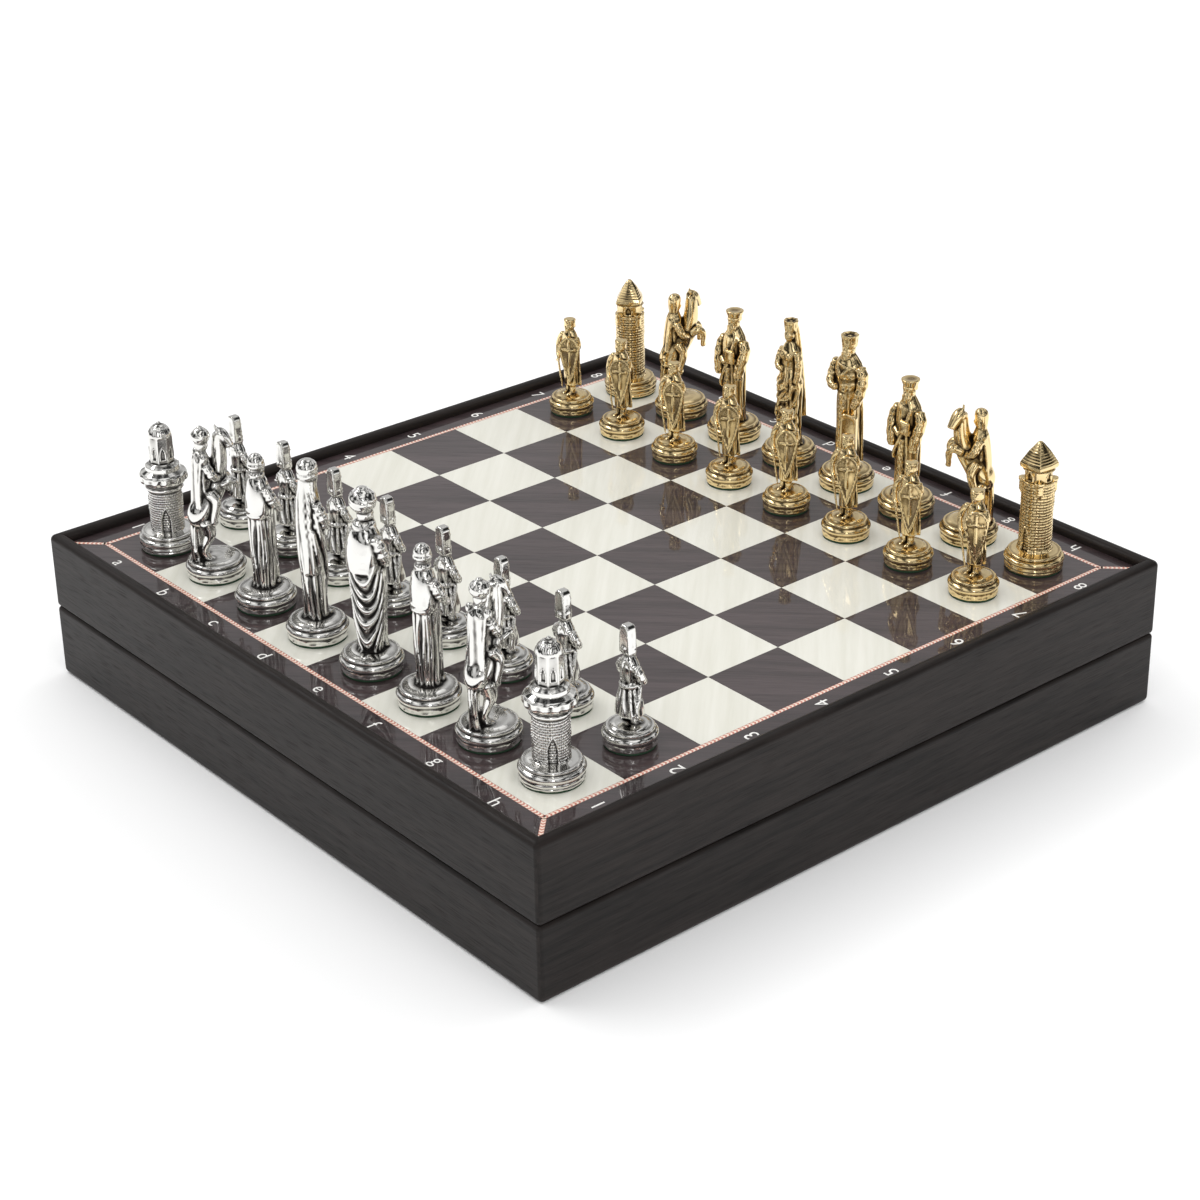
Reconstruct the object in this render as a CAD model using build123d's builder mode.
"""Chess set with storage: a board box in two halves and thirty-two cast metal figures.

Units are millimetres. The origin is the centre of the box's underside, +Z is up,
+X runs along the ranks from file a to file h, and +Y runs from rank 1 to rank 8.
"""
import os
from math import cos, pi, radians, sin

from build123d import *

os.makedirs("parts", exist_ok=True)

# Playing field and the woodwork around it
square = 38.0
inlay_width = 2.0
border_width = 11.0
wall = 6.0
base_height = 33.5
lid_height = 35.0
board_recess = 4.0
veneer = 0.8
veneer_joint = 0.1
panel_thickness = 5.0

# Edge roundings of the rails
rim_round = 2.5
seam_round = 2.0
corner_round = 2.0

# Inside of the box
bottom_lift = 2.0
bottom_thickness = 4.0
felt = 1.0
lip_thickness = 3.0
lip_rise = 5.0
lip_clearance = 0.4
lip_lead = 0.6
batten_width = 6.0
batten_height = 8.0
divider_thickness = 3.0
divider_height = 24.0
lap_clearance = 0.1
end_cell = 86.0
columns = 8

# Cast bases of the figures
major_radius = 13.0
pawn_radius = 11.0
base_band = 3.4
ring_height = 3.2
step_height = 1.9
dome_rise = 1.3
pad_thickness = 0.8
pad_inset = 0.7
drape_sides = 16
limb_sides = 8

# Heights of the figures above the board
silver_king_height = 80.0
silver_queen_height = 79.0
silver_bishop_height = 69.0
silver_knight_height = 70.0
silver_rook_height = 59.0
silver_pawn_height = 51.0
gold_king_height = 74.0
gold_queen_height = 70.0
gold_bishop_height = 64.0
gold_knight_height = 62.0
gold_rook_height = 58.5
gold_pawn_height = 48.0

field = 8 * square
inner = field + 2 * (inlay_width + border_width)
outer = inner + 2 * wall
total_height = base_height + lid_height
board_top = total_height - board_recess
panel_top = board_top - veneer
panel_bottom = panel_top - panel_thickness
floor_top = bottom_lift + bottom_thickness + felt
well = inner - 2 * lip_thickness
base_top = base_band + ring_height + step_height + dome_rise


def write(part, label):
    part.label = label
    export_step(part, f"parts/{label}.step")


# Rails: a rounded frame cut into four mitred lengths

def side_wedge(turn):
    """Keep the quarter of the frame that faces one side, between its two mitres."""
    reach = outer
    with BuildSketch(Plane.XY) as wedge:
        with BuildLine():
            Polyline((0, 0), (reach, -reach), (-reach, -reach), close=True)
        make_face()
    return wedge.sketch.rotate(Axis.Z, turn)


sides = {"front": 0, "right": 90, "back": 180, "left": 270}

for side, turn in sides.items():
    with BuildPart() as base_rail:
        with BuildSketch(Plane.XY):
            RectangleRounded(outer, outer, corner_round)
            Rectangle(inner, inner, mode=Mode.SUBTRACT)
        extrude(amount=base_height)
        low_edges = base_rail.faces().sort_by(Axis.Z)[0].outer_wire().edges()
        fillet(low_edges, radius=rim_round)
        high_edges = base_rail.faces().sort_by(Axis.Z)[-1].outer_wire().edges()
        fillet(high_edges, radius=seam_round)
        extrude(side_wedge(turn), amount=base_height, mode=Mode.INTERSECT)
    write(base_rail.part, f"base_rail_{side}")

    with BuildPart() as lid_rail:
        with BuildSketch(Plane.XY.offset(base_height)):
            RectangleRounded(outer, outer, corner_round)
            Rectangle(inner, inner, mode=Mode.SUBTRACT)
        extrude(amount=lid_height)
        fillet(lid_rail.edges().group_by(Axis.Z)[-1], radius=rim_round)
        low_edges = lid_rail.faces().sort_by(Axis.Z)[0].outer_wire().edges()
        fillet(low_edges, radius=seam_round)
        extrude(side_wedge(turn), amount=total_height, mode=Mode.INTERSECT)
    write(lid_rail.part, f"lid_rail_{side}")

    # The lip stands on the felt, meets the base rail and enters the lid with clearance
    with BuildPart() as lip:
        with BuildSketch(Plane.XY.offset(floor_top)):
            Rectangle(inner, inner)
            Rectangle(well, well, mode=Mode.SUBTRACT)
        extrude(amount=base_height - floor_top)
        with BuildSketch(Plane.XY.offset(base_height)):
            Rectangle(inner - 2 * lip_clearance, inner - 2 * lip_clearance)
            Rectangle(well, well, mode=Mode.SUBTRACT)
        extrude(amount=lip_rise)
        chamfer(lip.faces().sort_by(Axis.Z)[-1].outer_wire().edges(), length=lip_lead)
        extrude(side_wedge(turn), amount=total_height, mode=Mode.INTERSECT)
    write(lip.part, f"locating_lip_{side}")

with BuildPart() as bottom_panel:
    with BuildSketch(Plane.XY.offset(bottom_lift)):
        Rectangle(inner, inner)
    extrude(amount=bottom_thickness)
write(bottom_panel.part, "bottom_panel")

with BuildPart() as floor_felt:
    with BuildSketch(Plane.XY.offset(bottom_lift + bottom_thickness)):
        Rectangle(inner, inner)
    extrude(amount=felt)
write(floor_felt.part, "floor_felt")

# Dividers: long strips slotted from above, cross strips slotted from below

cell_width = (well - (columns - 1) * divider_thickness) / columns
long_pitch = cell_width + divider_thickness
cross_place = well / 2 - end_cell - divider_thickness / 2
lap_width = divider_thickness + 2 * lap_clearance
lap_depth = divider_height / 2 + lap_clearance

with BuildPart() as long_dividers:
    with BuildSketch(Plane.XY.offset(floor_top)):
        with GridLocations(long_pitch, 0, columns - 1, 1):
            Rectangle(divider_thickness, well)
    extrude(amount=divider_height)
    with BuildSketch(Plane.XY.offset(floor_top + divider_height)):
        with GridLocations(0, 2 * cross_place, 1, 2):
            Rectangle(well, lap_width)
    extrude(amount=-lap_depth, mode=Mode.SUBTRACT)
write(long_dividers.part, "long_dividers")

with BuildPart() as cross_dividers:
    with BuildSketch(Plane.XY.offset(floor_top)):
        with GridLocations(0, 2 * cross_place, 1, 2):
            Rectangle(well, divider_thickness)
    extrude(amount=divider_height)
    with BuildSketch(Plane.XY.offset(floor_top)):
        with GridLocations(long_pitch, 0, columns - 1, 1):
            Rectangle(lap_width, well)
    extrude(amount=lap_depth, mode=Mode.SUBTRACT)
write(cross_dividers.part, "cross_dividers")

# Lid: panel, battens and lining

with BuildPart() as board_panel:
    with BuildSketch(Plane.XY.offset(panel_bottom)):
        Rectangle(inner, inner)
    extrude(amount=panel_thickness)
write(board_panel.part, "board_panel")

batten_line = inner - batten_width
with BuildPart() as battens:
    with BuildSketch(Plane.XY.offset(panel_bottom - batten_height)):
        with GridLocations(0, batten_line, 1, 2):
            Rectangle(inner, batten_width)
        with GridLocations(batten_line, 0, 2, 1):
            Rectangle(batten_width, inner - 2 * batten_width - 2 * veneer_joint)
    extrude(amount=batten_height)
write(battens.part, "panel_battens")

with BuildPart() as lid_felt:
    lining = inner - 2 * batten_width - 2 * veneer_joint
    with BuildSketch(Plane.XY.offset(panel_bottom - felt)):
        Rectangle(lining, lining)
    extrude(amount=felt)
write(lid_felt.part, "lid_felt")

# Board face: squares, chevron inlay and mitred border, laid on the panel

tile = square - veneer_joint
for shade, parity in (("dark", 0), ("light", 1)):
    spots = [
        ((file - 3.5) * square, (rank - 3.5) * square)
        for file in range(8)
        for rank in range(8)
        if (file + rank) % 2 == parity
    ]
    with BuildPart() as squares:
        with BuildSketch(Plane.XY.offset(panel_top)):
            with Locations(*spots):
                Rectangle(tile, tile)
        extrude(amount=veneer)
    write(squares.part, f"{shade}_squares")

inlay_outer = field + 2 * inlay_width
with BuildPart() as chevron_inlay:
    with BuildSketch(Plane.XY.offset(panel_top)):
        Rectangle(inlay_outer, inlay_outer)
        for turn in (45, 135):
            Rectangle(2 * inner, inlay_width, rotation=turn)
        Rectangle(inner, inner, mode=Mode.INTERSECT)
        Rectangle(field, field, mode=Mode.SUBTRACT)
    extrude(amount=veneer)
write(chevron_inlay.part, "chevron_inlay")

with BuildPart() as border:
    with BuildSketch(Plane.XY.offset(panel_top)):
        Rectangle(inner, inner)
        Rectangle(inlay_outer, inlay_outer, mode=Mode.SUBTRACT)
        for turn in (45, 135):
            Rectangle(2 * inner, inlay_width, rotation=turn, mode=Mode.SUBTRACT)
    extrude(amount=veneer)
write(border.part, "board_border")


# Shapes that the figures share. Each is called inside a figure's own BuildPart.
# A seat is the plane of a figure's square: local x is its right hand, y its front.

def upright(seat):
    """The plane through the figure's axis whose local y runs up."""
    return Plane(origin=seat.origin, x_dir=seat.x_dir, z_dir=-seat.y_dir)


def spin(seat, points, arcs=()):
    """Turn a profile of (radius, height) points; arcs maps a span to its bulge point."""
    bulges = dict(arcs)
    with BuildSketch(upright(seat)) as profile:
        with BuildLine():
            for index, (start, end) in enumerate(zip(points, points[1:])):
                if index in bulges:
                    ThreePointArc(start, bulges[index], end)
                else:
                    Line(start, end)
            Line(points[-1], points[0])
        make_face()
    revolve(profile.sketch, axis=Axis(seat.origin, seat.z_dir))


def cast_base(seat, radius):
    """Band, round ring, step and low dome, with grooves between them."""
    band = radius - 0.4
    ring_low = base_band + 0.3
    ring_high = base_band + ring_height
    step_low = ring_high + 0.3
    step_high = ring_high + step_height
    points = [
        (0, pad_thickness),
        (band, pad_thickness),
        (band, base_band),
        (radius - 1.3, ring_low),
        (radius, ring_low + 0.8),
        (radius, ring_high - 0.8),
        (radius - 1.3, ring_high),
        (radius - 2.0, step_low),
        (radius - 1.4, step_low + 0.6),
        (radius - 2.4, step_high),
        (0, base_top),
    ]
    spin(seat, points)


def felt_pad(seat, radius):
    with BuildSketch(seat) as disc:
        Circle(radius - pad_inset)
    extrude(disc.sketch, amount=pad_thickness)


def drape(seat, sections):
    """Cloth over a body: faceted ellipses of (height, half width, half depth, forward shift)."""
    rings = []
    for height, half_width, half_depth, forward in sections:
        angles = [2 * pi * step / drape_sides for step in range(drape_sides)]
        outline = [(half_width * cos(a), half_depth * sin(a) + forward) for a in angles]
        with BuildSketch(seat.offset(height)) as ring:
            with BuildLine():
                Polyline(*outline, close=True)
            make_face()
        rings.append(ring.sketch)
    loft(rings, ruled=True)


def pleats(seat, sections, count, depth):
    """A robe whose outline runs in and out by the pleat depth, straight between heights."""
    rings = []
    for height, half_width, half_depth in sections:
        outline = []
        for step in range(2 * count):
            angle = pi * step / count
            pull = depth * (step % 2)
            outline.append(((half_width - pull) * cos(angle), (half_depth - pull) * sin(angle)))
        with BuildSketch(seat.offset(height)) as ring:
            with BuildLine():
                Polyline(*outline, close=True)
            make_face()
        rings.append(ring.sketch)
    loft(rings, ruled=True)


def square_to(direction):
    """A steady direction square to the given one, so that lofted rings don't twist."""
    return direction.cross(Vector(0.31, 0.95, 0.05)).normalized()


def limb(seat, stations):
    """Join faceted rings along a path of (x, y, z, radius) stations, square to it."""
    spots = [seat.from_local_coords(Vector(*station[:3])) for station in stations]
    last = len(spots) - 1
    rings = []
    for index, station in enumerate(stations):
        ahead = spots[min(index + 1, last)] - spots[max(index - 1, 0)]
        with BuildSketch(Plane(origin=spots[index], x_dir=square_to(ahead), z_dir=ahead)) as ring:
            RegularPolygon(station[3], limb_sides)
        rings.append(ring.sketch)
    loft(rings, ruled=True)


def ball(seat, x, y, z, radius):
    centre = seat.from_local_coords(Vector(x, y, z))
    with Locations(centre):
        Sphere(radius)


def both_limbs(seat, stations):
    """The same limb on the figure's right and left."""
    limb(seat, stations)
    limb(seat, [(-x, y, z, radius) for x, y, z, radius in stations])


def slab(seat, width, low, high, front, thickness, top_width=None):
    """An upright plate across the figure, its face at the forward distance front."""
    top = top_width or width
    face = Plane(
        origin=seat.from_local_coords(Vector(0, front, 0)), x_dir=seat.x_dir, z_dir=-seat.y_dir
    )
    with BuildSketch(face) as plate:
        with BuildLine():
            Polyline(
                (-width / 2, low), (width / 2, low), (top / 2, high), (-top / 2, high), close=True
            )
        make_face()
    extrude(plate.sketch, amount=thickness)


def arched_cut(seat, turn, radius, width, low, high, depth):
    """A pointed arch cut into a round wall that faces the given direction."""
    out = seat.rotated((0, 0, turn))
    face = Plane(
        origin=out.from_local_coords(Vector(0, radius, 0)), x_dir=out.x_dir, z_dir=-out.y_dir
    )
    spring = high - width
    with BuildSketch(face) as arch:
        with BuildLine():
            Polyline((-width / 2, spring), (-width / 2, low), (width / 2, low), (width / 2, spring))
            ThreePointArc((width / 2, spring), (0.35 * width, spring + 0.6 * width), (0, high))
            ThreePointArc((0, high), (-0.35 * width, spring + 0.6 * width), (-width / 2, spring))
        make_face()
    extrude(arch.sketch, amount=depth, mode=Mode.SUBTRACT)


# Silver figures

def silver_king(seat):
    top = silver_king_height
    drape(
        seat,
        [
            (base_top - 1, 6.4, 5.6, 0),
            (25, 7.0, 6.2, 0),
            (48, 8.0, 6.8, -0.3),
            (top - 22, 7.4, 6.0, -0.2),
            (top - 16, 4.4, 3.8, 0),
        ],
    )
    ball(seat, 0, 0.4, top - 12.5, 3.9)
    turban = [(0, top - 11), (4.2, top - 10.4), (4.4, top - 1.6), (0.6, top), (0, top)]
    spin(seat, turban, {1: (5.7, top - 6), 2: (2.6, top - 0.5)})
    both_limbs(seat, [(6.0, 0, top - 19.5, 2.6), (8.2, 2, top - 29, 2.4), (4.0, 6, top - 33, 1.8)])
    slab(seat, 4, base_top - 1, top - 20, 7.2, 2.6)


def silver_queen(seat):
    top = silver_queen_height
    pleats(seat, [(base_top - 1, 5.4, 5.6), (22, 5.0, 5.2), (45, 5.6, 5.6)], 10, 0.6)
    drape(
        seat,
        [
            (44, 5.4, 5.4, 0),
            (top - 19, 5.3, 4.6, 0),
            (top - 13.5, 4.6, 4.2, -0.4),
            (top - 7, 4.0, 3.8, -0.4),
        ],
    )
    fez = [(0, top - 7.4), (4.2, top - 7.4), (4.3, top - 1), (3.4, top), (0, top)]
    spin(seat, fez)
    both_limbs(seat, [(4.4, 0, top - 18, 2.1), (5.8, 1.5, top - 27, 2.0), (2.5, 5, top - 30, 1.5)])


def silver_bishop(seat):
    top = silver_bishop_height
    pleats(seat, [(base_top - 1, 5.4, 5.2), (26, 5.0, 4.8), (42, 5.2, 5.0)], 12, 0.7)
    drape(
        seat,
        [(41, 6.2, 5.8, 0), (50, 6.0, 5.2, 0), (top - 12.5, 4.6, 4.0, 0), (top - 9.5, 2.6, 2.6, 0)],
    )
    ball(seat, 0, 0.3, top - 7.5, 3.4)
    cap = [(0, top - 6.8), (3.7, top - 6.8), (3.5, top - 3), (0.6, top), (0, top)]
    spin(seat, cap, {2: (2.4, top - 0.9)})
    limb(seat, [(5.0, 0.5, 54, 2.3), (7.0, 2.5, 48, 2.2), (6.2, 5.2, 44, 2.4)])
    limb(seat, [(-5.0, 0.5, 54, 2.3), (-6.6, 2.0, 48, 2.2), (-3.5, 5.4, 45, 1.7)])
    limb(seat, [(6.0, 5.0, 44, 1.9), (5.2, 4.6, 26, 2.0), (5.0, 4.2, base_top - 1, 2.3)])


def horse(seat, lean, neck_turn):
    """A rearing horse: hind legs, rump, barrel, neck, head, forelegs and tail."""
    limb(
        seat,
        [
            (0, -6.5, 24, 3.4),
            (0, -4.5, 28, 5.6),
            (0, -1 + lean, 35, 5.2),
            (0, 2.5 + lean, 42, 4.8),
            (0, 4.5 + lean, 47, 3.6),
        ],
    )
    limb(
        seat,
        [
            (0, 3.2 + lean, 43, 3.8),
            (neck_turn * 0.3, 5.5 + lean, 50, 3.2),
            (neck_turn * 0.7, 6.5 + lean, 55, 2.6),
        ],
    )
    limb(
        seat,
        [
            (neck_turn * 0.5, 5.5 + lean, 56, 2.5),
            (neck_turn, 8.5 + lean, 54, 2.3),
            (1.4 * neck_turn, 11 + lean, 51, 1.4),
        ],
    )
    both_limbs(
        seat,
        [(3.0, -4.5, 27, 3.4), (4.0, -2.5, 20, 2.4), (3.8, -5.5, 14, 1.5), (3.8, -4, 8, 1.9)],
    )
    both_limbs(seat, [(2.8, 3 + lean, 42, 2.2), (4.2, 8.5 + lean, 43, 1.7), (4.2, 9.5 + lean, 37, 1.3)])
    limb(seat, [(0, -8.0, 27, 1.7), (0, -9.0, 18, 1.9), (0, -7.5, base_top - 1, 1.9)])


def silver_knight(seat):
    top = silver_knight_height
    horse(seat, 0, 1.0)
    drape(
        seat,
        [(34, 5.2, 4.2, -2), (44, 5.0, 4.2, -2.6), (top - 16, 5.4, 3.8, -2.6), (top - 10, 2.8, 2.8, -2)],
    )
    ball(seat, 0, -1.6, top - 7.8, 3.3)
    behind = Plane(
        origin=seat.from_local_coords(Vector(0, -1.8, 0)), x_dir=seat.x_dir, z_dir=seat.z_dir
    )
    turban = [(0, top - 7), (4.4, top - 6.4), (4.2, top - 1.4), (0.6, top), (0, top)]
    spin(behind, turban, {1: (5.4, top - 3.8), 2: (2.4, top - 0.4)})
    both_limbs(seat, [(4.4, -1.5, 42, 2.4), (5.8, 1.5, 36, 2.0), (5.6, 0, 28, 1.6)])
    both_limbs(seat, [(4.6, -2, top - 16, 2.0), (6.2, 1, 49, 1.8), (3.5, 4, 47, 1.5)])


def silver_rook(seat):
    top = silver_rook_height
    tower = [
        (0, base_top - 1),
        (7.6, base_top - 1),
        (7.2, 12),
        (7.2, 28),
        (8.2, 29),
        (8.2, 30.4),
        (10.2, 32.6),
        (10.4, 36),
        (7.2, 38),
        (7.0, 40),
        (5.4, 41),
        (5.2, top - 9),
        (0.8, top - 1.6),
        (0, top),
    ]
    spin(seat, tower, {11: (4.2, top - 4.6)})
    for turn in (0, 120, 240):
        arched_cut(seat, turn, 5.6, 2.6, 43, 49, 1.2)
    arched_cut(seat, 150, 7.6, 4.0, 11, 21, 1.4)
    arched_cut(seat, 330, 7.6, 4.0, 11, 21, 1.4)


def silver_pawn(seat):
    top = silver_pawn_height
    limb(seat, [(2.2, 0.5, 8, 2.0), (2.0, 0, 17, 1.9)])
    limb(seat, [(-2.2, 0.5, 8, 2.0), (-2.0, 0, 17, 1.9)])
    drape(
        seat,
        [
            (15, 5.6, 4.6, 0),
            (22, 4.9, 4.0, 0),
            (28, 3.6, 3.2, 0),
            (34.5, 4.6, 3.2, 0),
            (37.5, 2.2, 2.2, 0),
        ],
    )
    ball(seat, 0, 0.3, 38.8, 2.9)
    slab(seat, 5.6, 39, top, -0.4, 2.6, 5.0)
    both_limbs(seat, [(4.0, 0, 34.2, 1.8), (5.6, 0.8, 29, 1.6), (3.2, 3.4, 27, 1.3)])


# Gold figures

def gold_king(seat):
    top = gold_king_height
    drape(
        seat,
        [
            (base_top - 1, 6.6, 5.4, 0),
            (28, 5.8, 4.8, 0),
            (45, 5.8, 4.8, 0),
            (top - 16, 8.0, 5.0, 0),
            (top - 11, 4.6, 3.6, 0),
        ],
    )
    limb(seat, [(0, 0.2, top - 13, 3.2), (0, 0.4, top - 5, 3.4)])
    crown = [(0, top - 6.6), (3.6, top - 6.6), (3.4, top - 4), (4.0, top), (0, top)]
    spin(seat, crown)
    limb(seat, [(7.2, 0, top - 15.5, 2.6), (8.8, 1.4, top - 24, 2.3), (2.5, 5.4, top - 25.5, 1.7)])
    limb(seat, [(-7.2, 0, top - 15.5, 2.6), (-9.0, 1.2, top - 25, 2.3), (-6.6, 4.6, top - 35, 1.6)])
    shield = Plane(
        origin=seat.from_local_coords(Vector(-6.2, 6.4, 0)), x_dir=seat.x_dir, z_dir=-seat.y_dir
    )
    with BuildSketch(shield) as plate:
        with BuildLine():
            Polyline((3.6, 38.5), (-3.6, 38.5), (-3.6, 18), (0, base_top - 2), (3.6, 18), close=True)
        make_face()
    extrude(plate.sketch, amount=1.1, both=True)


def gold_queen(seat):
    top = gold_queen_height
    pleats(seat, [(base_top - 1, 7.2, 6.4), (20, 6.4, 5.6), (36, 6.6, 5.4)], 9, 0.7)
    drape(
        seat,
        [
            (35, 6.7, 5.4, 0),
            (40, 6.9, 5.2, 0),
            (48, 4.4, 3.8, 0),
            (top - 14, 5.2, 3.6, 0),
            (top - 9.5, 2.2, 2.2, 0),
        ],
    )
    ball(seat, 0, 0.5, top - 6.4, 3.0)
    spin(seat, [(0, top - 4.6), (3.0, top - 4.6), (3.6, top), (0, top)])
    drape(
        seat,
        [(24, 5.4, 2.0, -5.0), (42, 5.2, 2.0, -4.2), (top - 12, 4.2, 2.0, -2.8), (top - 2, 2.6, 1.8, -1.4)],
    )
    both_limbs(seat, [(4.6, 0, top - 15, 1.9), (6.0, 0.8, top - 22, 1.7), (1.5, 4.4, top - 24.5, 1.4)])


def gold_bishop(seat):
    top = gold_bishop_height
    pleats(seat, [(base_top - 1, 6.8, 5.6), (24, 6.4, 5.2), (36, 6.4, 5.2)], 9, 0.6)
    drape(
        seat,
        [(35, 6.6, 5.2, 0), (46, 7.0, 5.0, 0), (top - 12, 5.6, 4.0, 0), (top - 9, 2.6, 2.6, 0)],
    )
    ball(seat, 0, 0.4, top - 6.8, 3.4)
    spin(seat, [(0, top - 6), (3.4, top - 6), (4.4, top), (0, top)])
    both_limbs(seat, [(6.0, 0, top - 14, 2.5), (8.0, 1.4, 42, 2.6), (6.2, 3.4, 33, 2.2)])
    book = Plane(
        origin=seat.from_local_coords(Vector(-2.4, 5.4, 0)), x_dir=seat.x_dir, z_dir=-seat.y_dir
    )
    with BuildSketch(book) as cover:
        with Locations((0, 42)):
            Rectangle(5.4, 6.4)
    extrude(cover.sketch, amount=1.2, both=True)


def gold_knight(seat):
    top = gold_knight_height
    horse(seat, 0.4, -1.0)
    drape(
        seat,
        [(32, 4.8, 4.0, -3), (42, 4.4, 3.8, -3.6), (top - 12, 4.8, 3.6, -3.6), (top - 8, 2.4, 2.4, -3)],
    )
    behind = Plane(
        origin=seat.from_local_coords(Vector(0, -2.8, 0)), x_dir=seat.x_dir, z_dir=seat.z_dir
    )
    helmet = [(0, top - 9), (2.8, top - 9), (3.2, top - 2), (2.9, top), (0, top)]
    spin(behind, helmet)
    both_limbs(seat, [(4.0, -2, 40, 2.2), (5.4, 1.0, 34, 1.9), (5.2, -0.5, 26, 1.5)])
    both_limbs(seat, [(4.4, -3, top - 13, 1.9), (5.6, 0, 46, 1.7), (3.2, 2.5, 45, 1.4)])


def gold_rook(seat):
    top = gold_rook_height
    tower = [
        (0, base_top - 1),
        (7.4, base_top - 1),
        (7.0, 12),
        (7.0, 41),
        (5.9, 41),
        (5.9, top - 12),
        (7.6, top - 11.4),
        (8.4, top - 9.6),
        (7.6, top - 7.6),
        (0.8, top - 0.6),
        (0, top),
    ]
    spin(seat, tower)
    for turn in range(0, 360, 90):
        corner = seat.rotated((0, 0, turn + 45))
        with BuildSketch(corner.offset(35)) as turret:
            with Locations((0, 6.2)):
                Circle(2.0)
        extrude(turret.sketch, amount=7)
    arched_cut(seat, 0, 7.6, 4.0, 11, 20, 1.4)
    arched_cut(seat, 120, 7.6, 2.4, 30, 37, 1.2)
    arched_cut(seat, 240, 7.6, 2.4, 30, 37, 1.2)


def gold_pawn(seat):
    top = gold_pawn_height
    both_limbs(seat, [(1.6, 0.4, 8, 1.7), (1.4, 0, 18, 1.7)])
    drape(
        seat,
        [
            (15, 3.8, 3.2, 0),
            (26, 3.6, 3.0, 0),
            (36, 4.8, 3.2, 0),
            (40.5, 3.6, 2.6, 0),
            (42.5, 1.8, 1.8, 0),
        ],
    )
    spin(seat, [(0, top - 6), (2.5, top - 6), (2.8, top - 1), (2.4, top), (0, top)])
    limb(seat, [(4.6, 0, 38.5, 1.6), (8.2, 0.8, 32, 1.4), (4.8, 3.4, 27, 1.2)])
    limb(seat, [(4.8, 3.4, 28, 0.7), (0.6, 4.8, 13, 0.6)])
    shield = Plane(
        origin=seat.from_local_coords(Vector(-1.6, 2.0, 0)), x_dir=seat.x_dir, z_dir=-seat.y_dir
    )
    with BuildSketch(shield) as plate:
        with BuildLine():
            ThreePointArc((4.6, 33), (0, 40), (-4.6, 33))
            Line((-4.6, 33), (0, 15))
            Line((0, 15), (4.6, 33))
        make_face()
    extrude(plate.sketch, amount=-3.0)


# Setting out: each figure stands on its square, turned as in a set laid out by hand

officers = ("rook", "knight", "bishop", "queen", "king", "bishop", "knight", "rook")
makers = {
    "silver": {
        "rook": silver_rook,
        "knight": silver_knight,
        "bishop": silver_bishop,
        "queen": silver_queen,
        "king": silver_king,
        "pawn": silver_pawn,
    },
    "gold": {
        "rook": gold_rook,
        "knight": gold_knight,
        "bishop": gold_bishop,
        "queen": gold_queen,
        "king": gold_king,
        "pawn": gold_pawn,
    },
}
facing = {"silver": 0, "gold": 180}


def square_seat(file, rank, turn):
    """The plane of a square, turned so that its local y is the figure's front."""
    origin = ((file - 3.5) * square, (rank - 3.5) * square, board_top)
    ahead = (cos(radians(turn)), sin(radians(turn)), 0)
    return Plane(origin=origin, x_dir=ahead, z_dir=(0, 0, 1))


def make_figure(metal, name, file, rank, turn):
    radius = pawn_radius if name == "pawn" else major_radius
    seat = square_seat(file, rank, facing[metal] + turn)
    with BuildPart() as figure:
        cast_base(seat, radius)
        makers[metal][name](seat)
    with BuildPart() as pad:
        felt_pad(seat, radius)
    label = f"{metal}_{name}_{'abcdefgh'[file]}"
    write(Compound(label=label, children=[figure.part, pad.part]), label)


officer_turns = {"silver": (0, -12, 0, 0, 0, 0, 12, 0), "gold": (0, 150, 0, 0, 0, 0, -50, 0)}
pawn_turns = {"silver": (0,) * 8, "gold": (0,) * 8}
home_ranks = {"silver": (0, 1), "gold": (7, 6)}

for metal, (officer_rank, pawn_rank) in home_ranks.items():
    for file, name in enumerate(officers):
        make_figure(metal, name, file, officer_rank, officer_turns[metal][file])
        make_figure(metal, "pawn", file, pawn_rank, pawn_turns[metal][file])
